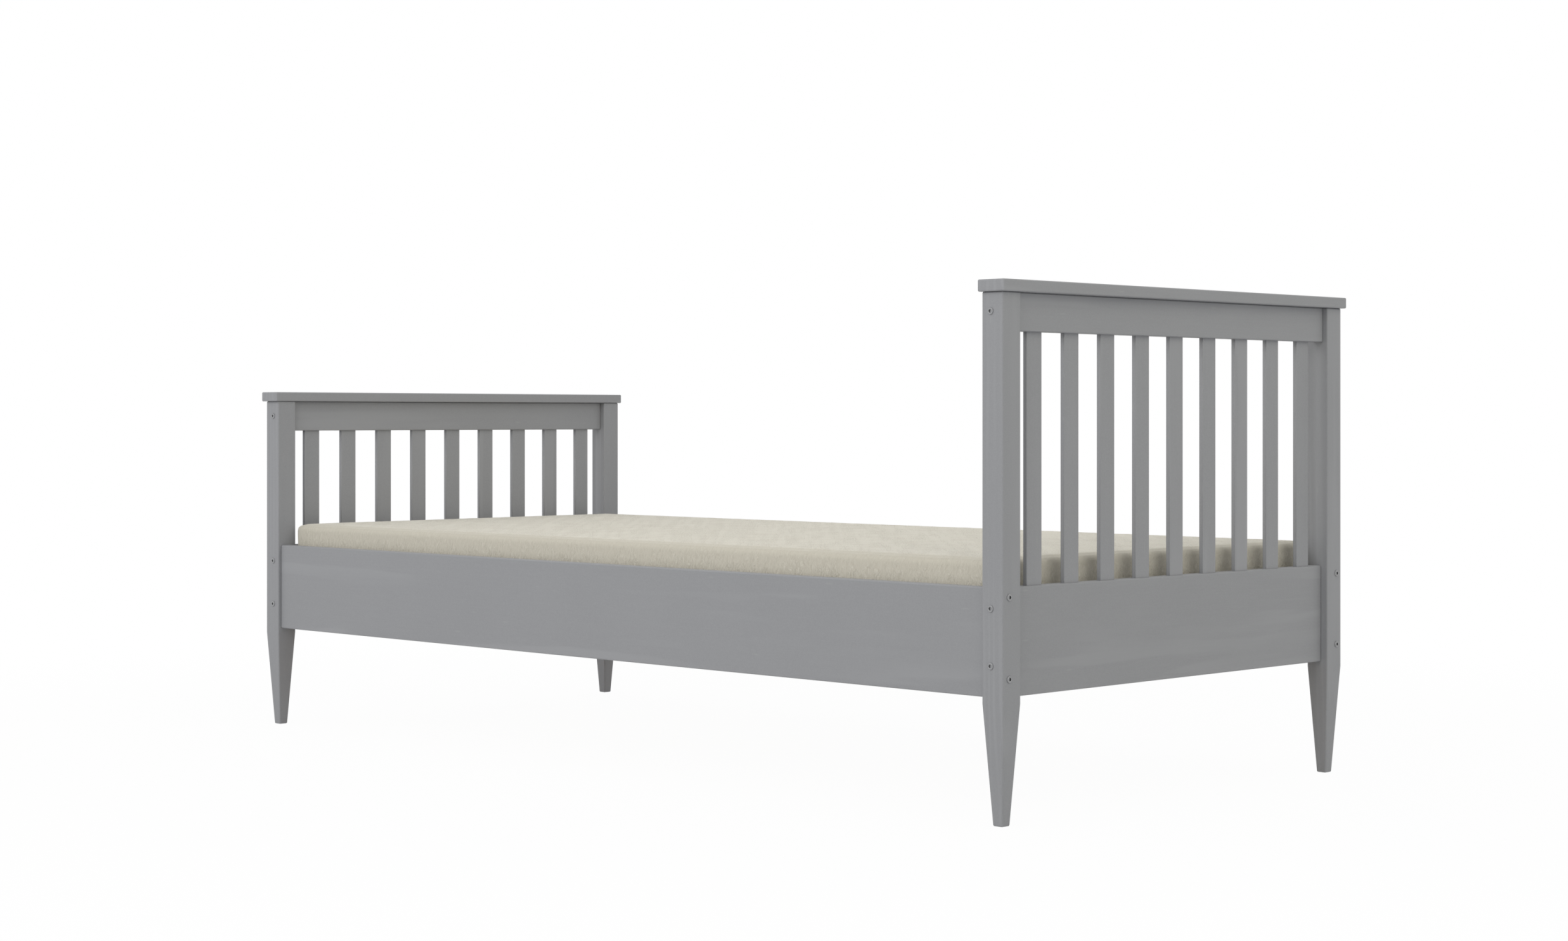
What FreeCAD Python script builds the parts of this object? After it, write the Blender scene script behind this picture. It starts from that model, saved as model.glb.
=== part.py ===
"""Single wooden bed: two slatted end panels, two side rails, a slatted base and a mattress.

All sizes are in millimetres. +Z is up, +Y points to the head, +X is the right side seen from the foot.
The origin lies on the floor at the centre of the bed. Each piece is one solid, written to its own file,
and equal fasteners share one file as a group of separate solids.
"""
import FreeCAD, Part
import math
import os

# Mattress, a standard size that sets the size of the frame round it
MATTRESS_LENGTH = 2000.0
MATTRESS_WIDTH = 900.0
MATTRESS_THICKNESS = 160.0
MATTRESS_SIDE_GAP = 12.0
MATTRESS_END_GAP = 5.0
MATTRESS_CLEARANCE = 0.3
MATTRESS_EDGE_RADIUS = 14.0
MATTRESS_CROWN = 4.0
MATTRESS_SIDE_DRAW = 4.0
MATTRESS_SIDE_SWELL = 2.0
MATTRESS_EDGE_STEPS = 2
MATTRESS_EDGE_TURN = math.radians(70)
MATTRESS_MIDDLE_STEPS = 2
MATTRESS_END_CROWN_SHARE = 0.2

# Posts, square above the leg and tapered on all four faces below it
HEAD_POST_HEIGHT = 872.5
FOOT_POST_HEIGHT = 702.5
POST_SIZE = 45.0
POST_EDGE_RADIUS = 2.5
POST_TOP_BEVEL = 1.5
LEG_HEIGHT = 200.0
SOLE_SIZE = 20.0
SOLE_EDGE_RADIUS = 1.5

# Cap boards on top of both end panels
CAP_THICKNESS = 20.0
CAP_OUTER_OVERHANG = 8.0
CAP_INNER_OVERHANG = 4.0
CAP_SIDE_OVERHANG = 7.0
CAP_EDGE_BEVEL = 2.0

# Rails, with insets measured from the outer post faces
RAIL_THICKNESS = 22.0
RAIL_EDGE_RADIUS = 2.5
RAIL_BOTTOM_HEIGHT = 210.0
RAIL_WIDTH = 180.0
SIDE_RAIL_INSET = 7.0
BOTTOM_RAIL_INSET = 14.0
TOP_RAIL_INSET = 10.0
TOP_RAIL_WIDTH = 64.0

# Stub tenons that keep the top rails from turning in the posts
STUB_LENGTH = 10.0
STUB_WIDTH = 16.0
STUB_THICKNESS = 10.0
STUB_DROP = 18.0

# Upright slats of the end panels, tenoned into the rails
PANEL_SLAT_COUNT = 9
PANEL_SLAT_WIDTH = 40.0
PANEL_SLAT_THICKNESS = 8.0
PANEL_SLAT_INSET = 18.0
PANEL_SLAT_END_GAP = 36.0
PANEL_SLAT_EDGE_BEVEL = 1.2
TENON_WIDTH = 30.0
TENON_THICKNESS = 5.0
TENON_LENGTH = 12.0

# Loose splines between the cap boards and the posts and top rails
SPLINE_WIDTH = 24.0
SPLINE_THICKNESS = 6.0
SPLINE_CAP_DEPTH = 8.0
SPLINE_RAIL_DEPTH = 12.0
SPLINE_SPACING = 480.0

# Play of every wooden tenon, spline and tongue in its slot
WOOD_JOINT_CLEARANCE = 0.2
WOOD_JOINT_END_CLEARANCE = 0.8

# Bolts with low round heads, through the posts and screwed into the ends of the rails
BOLT_DIAMETER = 6.0
BOLT_GRIP = 40.0
BOLT_HOLE_CLEARANCE = 0.25
BOLT_END_CLEARANCE = 3.0
BOLT_HEAD_DIAMETER = 11.5
BOLT_HEAD_THICKNESS = 2.0
BOLT_SOCKET_WIDTH = 5.0
BOLT_SOCKET_DEPTH = 3.0
END_BOLT_DEPTH_SHARE = 0.73
END_BOLT_HEIGHT_SHARES = (0.29, 0.81)
SIDE_BOLT_DEPTH_SHARE = 0.39
SIDE_BOLT_HEIGHT_SHARES = (0.175, 0.915)

# Ledgers, tongued into the side rails clear of their bolts and notched for the base slats
LEDGER_THICKNESS = 20.0
LEDGER_HEIGHT = 34.0
LEDGER_RISE = 14.0
LEDGER_END_GAP = 50.0
TONGUE_DEPTH = 6.0
TONGUE_WIDTH = 8.0

# Slatted base
BASE_SLAT_COUNT = 14
BASE_SLAT_WIDTH = 70.0
BASE_SLAT_THICKNESS = 18.0
BASE_SLAT_SIDE_GAP = 3.0
BASE_SLAT_END_GAP = 15.0
NOTCH_DEPTH = 4.0
NOTCH_CLEARANCE = 0.5

# Length by which every cut runs past the face it opens, and the slack when two directions are compared
CUT_OVERRUN = 2.0
SLACK = 1e-6

# Half sizes over the posts, and heights, that follow from the values above
HALF_WIDTH = MATTRESS_WIDTH / 2 + MATTRESS_SIDE_GAP + RAIL_THICKNESS + SIDE_RAIL_INSET
HALF_LENGTH = MATTRESS_LENGTH / 2 + MATTRESS_END_GAP + POST_SIZE
RAIL_TOP_HEIGHT = RAIL_BOTTOM_HEIGHT + RAIL_WIDTH
LEDGER_TOP_HEIGHT = RAIL_BOTTOM_HEIGHT + LEDGER_RISE + LEDGER_HEIGHT
BASE_BOTTOM_HEIGHT = LEDGER_TOP_HEIGHT - NOTCH_DEPTH
BASE_TOP_HEIGHT = BASE_BOTTOM_HEIGHT + BASE_SLAT_THICKNESS
SIDE_RAIL_INNER_X = HALF_WIDTH - SIDE_RAIL_INSET - RAIL_THICKNESS
LEDGER_HALF_LENGTH = HALF_LENGTH - POST_SIZE - LEDGER_END_GAP
BOLT_LENGTH = POST_SIZE + BOLT_GRIP

X_AXIS = FreeCAD.Vector(1, 0, 0)
Y_AXIS = FreeCAD.Vector(0, 1, 0)
Z_AXIS = FreeCAD.Vector(0, 0, 1)
HEAD, FOOT = 1, -1
RIGHT, LEFT = 1, -1
UP, DOWN = 1, -1
END_NAMES = {HEAD: "head", FOOT: "foot"}
SIDE_NAMES = {RIGHT: "right", LEFT: "left"}
POST_HEIGHTS = {HEAD: HEAD_POST_HEIGHT, FOOT: FOOT_POST_HEIGHT}


def point(x, y, z):
    """A place in the bed's frame."""
    return FreeCAD.Vector(x, y, z)


def around(middle, size):
    """The two ends of a span of a given size about its middle."""
    return middle - size / 2, middle + size / 2


def block(xs, ys, zs):
    """A plain block between two values on each axis, given in any order."""
    low = point(min(xs), min(ys), min(zs))
    high = point(max(xs), max(ys), max(zs))
    size = high - low
    return Part.makeBox(size.x, size.y, size.z, low)


def edges_along(body, axis):
    """The edges of a block that run along one axis."""
    return [edge for edge in body.Edges if edge.tangentAt(edge.FirstParameter).cross(axis).Length < SLACK]


def rounded_bar(xs, ys, zs, radius, axis):
    """A block whose four edges along one axis are rounded."""
    body = block(xs, ys, zs)
    return body.makeFillet(radius, edges_along(body, axis))


def rod(start, direction, diameter, length):
    """A cylinder that runs from a point along a direction."""
    return Part.makeCylinder(diameter / 2, length, start, direction)


def square_outline(centre, size, radius):
    """The edges of a level square with rounded corners: a side and the corner after it, four times."""
    half = size / 2
    straight = half - radius
    reach = straight + radius * math.sqrt(0.5)
    edges = []
    for turn in range(4):
        rotation = FreeCAD.Rotation(Z_AXIS, 90 * turn)
        first, last, bend, onward = [centre + rotation.multVec(point(x, y, 0)) for x, y in (
            (half, -straight), (half, straight), (reach, reach), (straight, half))]
        edges += [Part.LineSegment(first, last).toShape(), Part.Arc(last, bend, onward).toShape()]
    return edges


def flat_between(low, high):
    """A flat face between two parallel straight edges."""
    corners = [low.Vertexes[0].Point, low.Vertexes[1].Point, high.Vertexes[1].Point, high.Vertexes[0].Point]
    return Part.Face(Part.makePolygon(corners + corners[:1]))


def stack(outlines):
    """A solid whose sides join a row of square outlines, one above the other."""
    faces = [Part.Face(Part.Wire(outlines[0])), Part.Face(Part.Wire(outlines[-1]))]
    for lower, upper in zip(outlines, outlines[1:]):
        for index, (low, high) in enumerate(zip(lower, upper)):
            is_corner = index % 2 == 1
            faces.append(Part.makeRuledSurface(low, high) if is_corner else flat_between(low, high))
    shell = Part.Shell(faces)
    shell.sewShape()
    return Part.Solid(shell)


def end_bolt_y(end):
    """Distance along the bed of the bolts that hold the end rails."""
    return end * (HALF_LENGTH - TOP_RAIL_INSET - END_BOLT_DEPTH_SHARE * RAIL_THICKNESS)


def top_rail_y(end):
    """Distance along the bed of a top rail's middle line."""
    return end * (HALF_LENGTH - TOP_RAIL_INSET - RAIL_THICKNESS / 2)


def top_rail_height(end):
    """Height of a top rail's middle line."""
    return POST_HEIGHTS[end] - TOP_RAIL_WIDTH / 2


def end_bolt_seats(end, side):
    """Seats of one post's end rail bolts, on its side face: the top rail's, then the bottom rail's."""
    heights = [top_rail_height(end)]
    heights += [RAIL_BOTTOM_HEIGHT + share * RAIL_WIDTH for share in END_BOLT_HEIGHT_SHARES]
    return [point(side * HALF_WIDTH, end_bolt_y(end), height) for height in heights]


def side_bolt_seats(end, side):
    """Seats of one post's side rail bolts, on its end face."""
    x = side * (HALF_WIDTH - SIDE_RAIL_INSET - SIDE_BOLT_DEPTH_SHARE * RAIL_THICKNESS)
    heights = [RAIL_BOTTOM_HEIGHT + share * RAIL_WIDTH for share in SIDE_BOLT_HEIGHT_SHARES]
    return [point(x, end * HALF_LENGTH, height) for height in heights]


def bolt_hole(seat, inward):
    """The hole for a bolt, through the post and into the rail."""
    start = seat - inward * CUT_OVERRUN
    depth = CUT_OVERRUN + BOLT_LENGTH + BOLT_END_CLEARANCE
    return rod(start, inward, BOLT_DIAMETER + 2 * BOLT_HOLE_CLEARANCE, depth)


def end_bolt_holes(end, side):
    """The holes for one post's end rail bolts: the top rail's, then the bottom rail's."""
    return [bolt_hole(seat, X_AXIS * -side) for seat in end_bolt_seats(end, side)]


def side_bolt_holes(end, side):
    """The holes for one post's side rail bolts."""
    return [bolt_hole(seat, Y_AXIS * -end) for seat in side_bolt_seats(end, side)]


def bolt(seat, inward):
    """A bolt with a low round head and a hexagon socket."""
    crown = seat - inward * BOLT_HEAD_THICKNESS
    head = rod(crown, inward, BOLT_HEAD_DIAMETER, BOLT_HEAD_THICKNESS)
    shank = rod(seat, inward, BOLT_DIAMETER, BOLT_LENGTH)
    return head.fuse(shank).cut(hexagon_socket(crown, inward))


def hexagon_socket(crown, inward):
    """The cutter for a bolt's hexagon socket."""
    corner = Z_AXIS * (BOLT_SOCKET_WIDTH / math.sqrt(3))
    start = crown - inward * CUT_OVERRUN
    corners = [start + FreeCAD.Rotation(inward, 60 * turn).multVec(corner) for turn in range(7)]
    return Part.Face(Part.makePolygon(corners)).extrude(inward * (CUT_OVERRUN + BOLT_SOCKET_DEPTH))


def spline_places(end):
    """Places where splines cross from a cap board into the posts and the top rail."""
    post_x = HALF_WIDTH - POST_SIZE / 2
    xs = (-post_x, -SPLINE_SPACING / 2, SPLINE_SPACING / 2, post_x)
    return [point(x, top_rail_y(end), POST_HEIGHTS[end]) for x in xs]


def spline(place, clearance, end_clearance):
    """A loose spline that stands in the wood below a cap board, or its slot if clearances are added."""
    xs = around(place.x, SPLINE_WIDTH + 2 * clearance)
    ys = around(place.y, SPLINE_THICKNESS + 2 * clearance)
    return block(xs, ys, (place.z - SPLINE_RAIL_DEPTH, place.z + SPLINE_CAP_DEPTH + end_clearance))


def spline_slots(end):
    """The slots for all the splines under a cap board."""
    return [spline(place, WOOD_JOINT_CLEARANCE, WOOD_JOINT_END_CLEARANCE) for place in spline_places(end)]


def stub_tenon(end, side, clearance, end_clearance):
    """A stub tenon on a top rail's end, or its mortise in the post if clearances are added."""
    face = HALF_WIDTH - POST_SIZE
    xs = (side * (face - CUT_OVERRUN), side * (face + STUB_LENGTH + end_clearance))
    height = top_rail_height(end) - STUB_DROP
    return block(xs, around(top_rail_y(end), STUB_THICKNESS + 2 * clearance),
                 around(height, STUB_WIDTH + 2 * clearance))


def post(end, side):
    """A corner post: a square upper part on a leg that tapers on all four faces."""
    x = side * (HALF_WIDTH - POST_SIZE / 2)
    y = end * (HALF_LENGTH - POST_SIZE / 2)
    top = POST_HEIGHTS[end]
    levels = ((0, SOLE_SIZE, SOLE_EDGE_RADIUS), (LEG_HEIGHT, POST_SIZE, POST_EDGE_RADIUS),
              (top - POST_TOP_BEVEL, POST_SIZE, POST_EDGE_RADIUS),
              (top, POST_SIZE - 2 * POST_TOP_BEVEL, POST_EDGE_RADIUS - POST_TOP_BEVEL))
    body = stack([square_outline(point(x, y, height), size, radius) for height, size, radius in levels])
    mortise = stub_tenon(end, side, WOOD_JOINT_CLEARANCE, WOOD_JOINT_END_CLEARANCE)
    return body.cut(end_bolt_holes(end, side) + side_bolt_holes(end, side) + spline_slots(end) + [mortise])


def cap(end):
    """A cap board, bevelled all round, that overhangs the posts on all sides."""
    x = HALF_WIDTH + CAP_SIDE_OVERHANG
    outer = end * (HALF_LENGTH + CAP_OUTER_OVERHANG)
    inner = end * (HALF_LENGTH - POST_SIZE - CAP_INNER_OVERHANG)
    low = POST_HEIGHTS[end]
    body = block((-x, x), (inner, outer), (low, low + CAP_THICKNESS))
    return body.makeChamfer(CAP_EDGE_BEVEL, body.Edges).cut(spline_slots(end))


def end_rail_blank(end, inset, low, high):
    """A board with rounded edges between the two posts of one end panel."""
    x = HALF_WIDTH - POST_SIZE
    outer = HALF_LENGTH - inset
    ys = (end * outer, end * (outer - RAIL_THICKNESS))
    return rounded_bar((-x, x), ys, (low, high), RAIL_EDGE_RADIUS, X_AXIS)


def top_rail(end):
    """A top rail, mortised below for the slats, with a stub tenon at both ends."""
    high = POST_HEIGHTS[end]
    low = high - TOP_RAIL_WIDTH
    body = end_rail_blank(end, TOP_RAIL_INSET, low, high)
    body = body.fuse([stub_tenon(end, side, 0, 0) for side in (RIGHT, LEFT)])
    holes = [end_bolt_holes(end, side)[0] for side in (RIGHT, LEFT)]
    return body.cut(holes + mortises(end, low, UP) + spline_slots(end))


def bottom_rail(end):
    """A wide bottom rail, mortised above for the slats."""
    body = end_rail_blank(end, BOTTOM_RAIL_INSET, RAIL_BOTTOM_HEIGHT, RAIL_TOP_HEIGHT)
    holes = end_bolt_holes(end, RIGHT)[1:] + end_bolt_holes(end, LEFT)[1:]
    return body.cut(holes + mortises(end, RAIL_TOP_HEIGHT, DOWN))


def panel_slat_places():
    """Distances across the bed of an end panel's upright slats."""
    first = HALF_WIDTH - POST_SIZE - PANEL_SLAT_END_GAP - PANEL_SLAT_WIDTH / 2
    pitch = 2 * first / (PANEL_SLAT_COUNT - 1)
    return [index * pitch - first for index in range(PANEL_SLAT_COUNT)]


def panel_slat_y(end):
    """Distance along the bed of the middle of an end panel's slats."""
    return end * (HALF_LENGTH - PANEL_SLAT_INSET - PANEL_SLAT_THICKNESS / 2)


def mortises(end, face_height, way):
    """Cutters for a row of mortises that open at a level face and run up or down into the rail."""
    ys = around(panel_slat_y(end), TENON_THICKNESS + 2 * WOOD_JOINT_CLEARANCE)
    zs = (face_height - way * CUT_OVERRUN, face_height + way * (TENON_LENGTH + WOOD_JOINT_END_CLEARANCE))
    return [block(around(x, TENON_WIDTH + 2 * WOOD_JOINT_CLEARANCE), ys, zs) for x in panel_slat_places()]


def panel_slat(end, x):
    """An upright slat with eased edges and a tenon at both ends."""
    y = panel_slat_y(end)
    low = RAIL_TOP_HEIGHT
    high = POST_HEIGHTS[end] - TOP_RAIL_WIDTH
    body = block(around(x, PANEL_SLAT_WIDTH), around(y, PANEL_SLAT_THICKNESS), (low, high))
    body = body.makeChamfer(PANEL_SLAT_EDGE_BEVEL, edges_along(body, Z_AXIS))
    tenon_zs = (low - TENON_LENGTH, high + TENON_LENGTH)
    return body.fuse(block(around(x, TENON_WIDTH), around(y, TENON_THICKNESS), tenon_zs))


def side_rail(side):
    """A wide side rail, grooved inside for its ledger."""
    y = HALF_LENGTH - POST_SIZE
    body = rounded_bar((side * SIDE_RAIL_INNER_X, side * (HALF_WIDTH - SIDE_RAIL_INSET)), (-y, y),
                       (RAIL_BOTTOM_HEIGHT, RAIL_TOP_HEIGHT), RAIL_EDGE_RADIUS, Y_AXIS)
    cutters = [tongue(side, WOOD_JOINT_CLEARANCE, WOOD_JOINT_END_CLEARANCE)]
    for end in (HEAD, FOOT):
        cutters += side_bolt_holes(end, side)
    return body.cut(cutters)


def tongue(side, clearance, end_clearance):
    """The tongue on the back of a ledger, or its groove in the side rail if clearances are added."""
    length = LEDGER_HALF_LENGTH + end_clearance
    xs = (side * (SIDE_RAIL_INNER_X - CUT_OVERRUN), side * (SIDE_RAIL_INNER_X + TONGUE_DEPTH + end_clearance))
    height = LEDGER_TOP_HEIGHT - LEDGER_HEIGHT / 2
    return block(xs, (-length, length), around(height, TONGUE_WIDTH + 2 * clearance))


def ledger(side):
    """A strip along the inside of a side rail, notched for the base slats."""
    outer = SIDE_RAIL_INNER_X
    inner = outer - LEDGER_THICKNESS
    zs = (LEDGER_TOP_HEIGHT - LEDGER_HEIGHT, LEDGER_TOP_HEIGHT)
    body = block((side * inner, side * outer), (-LEDGER_HALF_LENGTH, LEDGER_HALF_LENGTH), zs)
    notch_xs = (side * (inner - CUT_OVERRUN), side * (outer + CUT_OVERRUN))
    notch_zs = (BASE_BOTTOM_HEIGHT, LEDGER_TOP_HEIGHT + CUT_OVERRUN)
    notch_width = BASE_SLAT_WIDTH + 2 * NOTCH_CLEARANCE
    notches = [block(notch_xs, around(y, notch_width), notch_zs) for y in base_slat_places()]
    return body.fuse(tongue(side, 0, 0)).cut(notches)


def base_slat_places():
    """Distances along the bed of the base slats."""
    first = LEDGER_HALF_LENGTH - BASE_SLAT_END_GAP - BASE_SLAT_WIDTH / 2
    pitch = 2 * first / (BASE_SLAT_COUNT - 1)
    return [index * pitch - first for index in range(BASE_SLAT_COUNT)]


def base_slat(y):
    """A base slat that lies across the bed in the notches of both ledgers."""
    x = SIDE_RAIL_INNER_X - BASE_SLAT_SIDE_GAP
    return block((-x, x), around(y, BASE_SLAT_WIDTH), (BASE_BOTTOM_HEIGHT, BASE_TOP_HEIGHT))


def mattress_arc(y, start, middle, finish):
    """An arc across the mattress through three places, given as (x, z)."""
    return Part.Arc(*[point(x, y, z) for x, z in (start, middle, finish)]).toShape()


def mattress_section(y, inset, crown, draw):
    """A closed outline across the mattress, drawn in at its sides and crowned on top.

    The inset pulls the outline in on all sides, as towards the rounded ends."""
    radius = MATTRESS_EDGE_RADIUS - inset
    half = MATTRESS_WIDTH / 2 - MATTRESS_SIDE_SWELL - inset - draw
    bottom = BASE_TOP_HEIGHT + MATTRESS_CLEARANCE
    low = bottom + inset
    high = bottom + MATTRESS_THICKNESS - inset
    bend = radius * (1 - math.sqrt(0.5))
    edges = [Part.LineSegment(point(radius - half, y, low), point(half - radius, y, low)).toShape()]
    for side in (RIGHT, LEFT):
        outer = side * half
        inner = side * (half - radius)
        turn = outer - side * bend
        swell = (side * (half + MATTRESS_SIDE_SWELL), (low + high) / 2)
        edges.append(mattress_arc(y, (inner, low), (turn, low + bend), (outer, low + radius)))
        edges.append(mattress_arc(y, (outer, low + radius), swell, (outer, high - radius)))
        edges.append(mattress_arc(y, (outer, high - radius), (turn, high - bend), (inner, high)))
    edges.append(mattress_arc(y, (half - radius, high), (0, high + crown), (radius - half, high)))
    return Part.Wire(Part.sortEdges(edges)[0])


def mattress_stations():
    """Pairs of distance along the bed and inset, from the foot end to the head end."""
    half = MATTRESS_LENGTH / 2
    straight = half - MATTRESS_EDGE_RADIUS * math.sin(MATTRESS_EDGE_TURN)
    stations = [(straight * step / MATTRESS_MIDDLE_STEPS, 0) for step in range(MATTRESS_MIDDLE_STEPS)]
    for step in range(MATTRESS_EDGE_STEPS + 1):
        angle = MATTRESS_EDGE_TURN * step / MATTRESS_EDGE_STEPS
        reach = straight + MATTRESS_EDGE_RADIUS * math.sin(angle)
        stations.append((reach, MATTRESS_EDGE_RADIUS * (1 - math.cos(angle))))
    return [(-reach, inset) for reach, inset in stations[:0:-1]] + stations


def mattress():
    """The mattress: rounded all round, crowned on top and drawn in along its sides."""
    sections = []
    for reach, inset in mattress_stations():
        middle_share = 1 - (2 * reach / MATTRESS_LENGTH) ** 2
        crown_share = MATTRESS_END_CROWN_SHARE + (1 - MATTRESS_END_CROWN_SHARE) * middle_share
        sections.append(mattress_section(reach, inset, MATTRESS_CROWN * crown_share,
                                         MATTRESS_SIDE_DRAW * middle_share))
    return Part.makeLoft(sections, True, True)


def fastener_groups():
    """Groups of equal fasteners, each a list of separate solids."""
    groups = {"end_rail_bolts": [], "side_rail_bolts": [], "cap_splines": []}
    for end in END_NAMES:
        groups["cap_splines"] += [spline(place, 0, 0) for place in spline_places(end)]
        for side in SIDE_NAMES:
            groups["end_rail_bolts"] += [bolt(seat, X_AXIS * -side) for seat in end_bolt_seats(end, side)]
            groups["side_rail_bolts"] += [bolt(seat, Y_AXIS * -end) for seat in side_bolt_seats(end, side)]
    return groups


def all_pieces():
    """Every piece of the bed under its own name."""
    pieces = {}
    for end, end_name in END_NAMES.items():
        for side, side_name in SIDE_NAMES.items():
            pieces[f"{end_name}_post_{side_name}"] = post(end, side)
        pieces[f"{end_name}_cap"] = cap(end)
        pieces[f"{end_name}_top_rail"] = top_rail(end)
        pieces[f"{end_name}_bottom_rail"] = bottom_rail(end)
        for number, x in enumerate(panel_slat_places(), start=1):
            pieces[f"{end_name}_slat_{number}"] = panel_slat(end, x)
    for side, side_name in SIDE_NAMES.items():
        pieces[f"side_rail_{side_name}"] = side_rail(side)
        pieces[f"slat_ledger_{side_name}"] = ledger(side)
    for number, y in enumerate(base_slat_places(), start=1):
        pieces[f"base_slat_{number:02d}"] = base_slat(y)
    for name, solids in fastener_groups().items():
        pieces[name] = Part.makeCompound(solids)
    pieces["mattress"] = mattress()
    return pieces


def main():
    """Build every piece and write it to its own file."""
    os.makedirs("parts", exist_ok=True)
    for name, shape in all_pieces().items():
        if not shape.isValid():
            raise ValueError(f"{name} isn't a valid solid")
        shape.exportStep(f"parts/{name}.step")


main()
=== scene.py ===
"""Looks of a single wooden bed: painted boards, bolts, slats and a plush mattress.

Lengths are in metres. +Z is up, +Y points to the head and +X is the right side seen from the foot.
"""

import logging
import math
from collections.abc import Sequence
from dataclasses import dataclass
from enum import Enum

import bmesh
import bpy
from mathutils import Euler, Matrix, Vector, noise

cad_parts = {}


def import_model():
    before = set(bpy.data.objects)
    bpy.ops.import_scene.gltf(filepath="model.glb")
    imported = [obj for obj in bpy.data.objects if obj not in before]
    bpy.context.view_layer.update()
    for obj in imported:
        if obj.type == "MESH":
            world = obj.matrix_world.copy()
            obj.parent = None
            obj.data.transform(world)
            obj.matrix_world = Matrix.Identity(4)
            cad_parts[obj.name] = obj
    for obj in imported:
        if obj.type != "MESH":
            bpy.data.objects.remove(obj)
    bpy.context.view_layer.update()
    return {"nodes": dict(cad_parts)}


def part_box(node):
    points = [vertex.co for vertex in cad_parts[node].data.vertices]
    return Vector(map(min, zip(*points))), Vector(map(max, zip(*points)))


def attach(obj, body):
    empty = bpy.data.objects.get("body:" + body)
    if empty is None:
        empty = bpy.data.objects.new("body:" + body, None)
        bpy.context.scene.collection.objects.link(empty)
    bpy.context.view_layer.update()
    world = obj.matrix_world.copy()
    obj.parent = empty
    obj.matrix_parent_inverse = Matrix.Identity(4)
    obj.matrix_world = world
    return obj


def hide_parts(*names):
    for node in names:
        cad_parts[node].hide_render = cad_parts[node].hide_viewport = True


LOG = logging.getLogger("bed")
MM = 0.001
FRAME_BODY = "frame"
MATTRESS_BODY = "mattress"

Triple = tuple[float, float, float]
Span = tuple[float, float]
Colour = Triple
Seat = tuple[Vector, Vector]
Socket = bpy.types.NodeSocket
Material = bpy.types.Material
Piece = bpy.types.Object
Form = bmesh.types.BMesh
Face = bmesh.types.BMFace

WHITE: Colour = (1.0, 1.0, 1.0)
WHOLE: Span = (0.0, 1.0)
FLAT_FACE_WEIGHT = 100

# The curve between the tones of a screen and linear light
TONE_STEPS = 255
TONE_KNEE = 0.04045
TONE_SLOPE = 12.92
TONE_OFFSET = 0.055
TONE_POWER = 2.4


def linear(tone: int) -> float:
    """Turn a screen's value for one channel into linear light.

    Args:
        tone: The screen's value, from 0 to 255.

    Returns:
        The linear value, from 0 to 1.
    """
    share = tone / TONE_STEPS
    if share <= TONE_KNEE:
        return share / TONE_SLOPE
    return ((share + TONE_OFFSET) / (1 + TONE_OFFSET)) ** TONE_POWER


def paint_tone(red: int, green: int, blue: int) -> Colour:
    """Give a tone as a screen shows it in the linear values that shaders take."""
    return linear(red), linear(green), linear(blue)


class Labelled(Enum):
    """A choice whose name in lower case is part of other names."""

    @property
    def label(self) -> str:
        """The choice's name in the names of nodes and materials."""
        return self.name.lower()


class End(Labelled):
    """The two ends of the bed, with their direction along Y."""

    HEAD = 1
    FOOT = -1


class Side(Labelled):
    """The two sides of the bed, with their direction along X."""

    RIGHT = 1
    LEFT = -1


class GrainAxis(Labelled):
    """The axis that a board's grain runs along, with the turn that brings it onto X."""

    X = (0.0, 0.0, 0.0)
    Y = (0.0, 0.0, math.radians(-90))
    Z = (0.0, math.radians(90), 0.0)


class Layers(Enum):
    """The finer layers of a noise pattern: their number and their strength."""

    SOFT = (2.0, 0.5)
    GRAINY = (2.0, 0.6)
    FINE = (3.0, 0.5)
    ROUGH = (3.0, 0.6)


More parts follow.
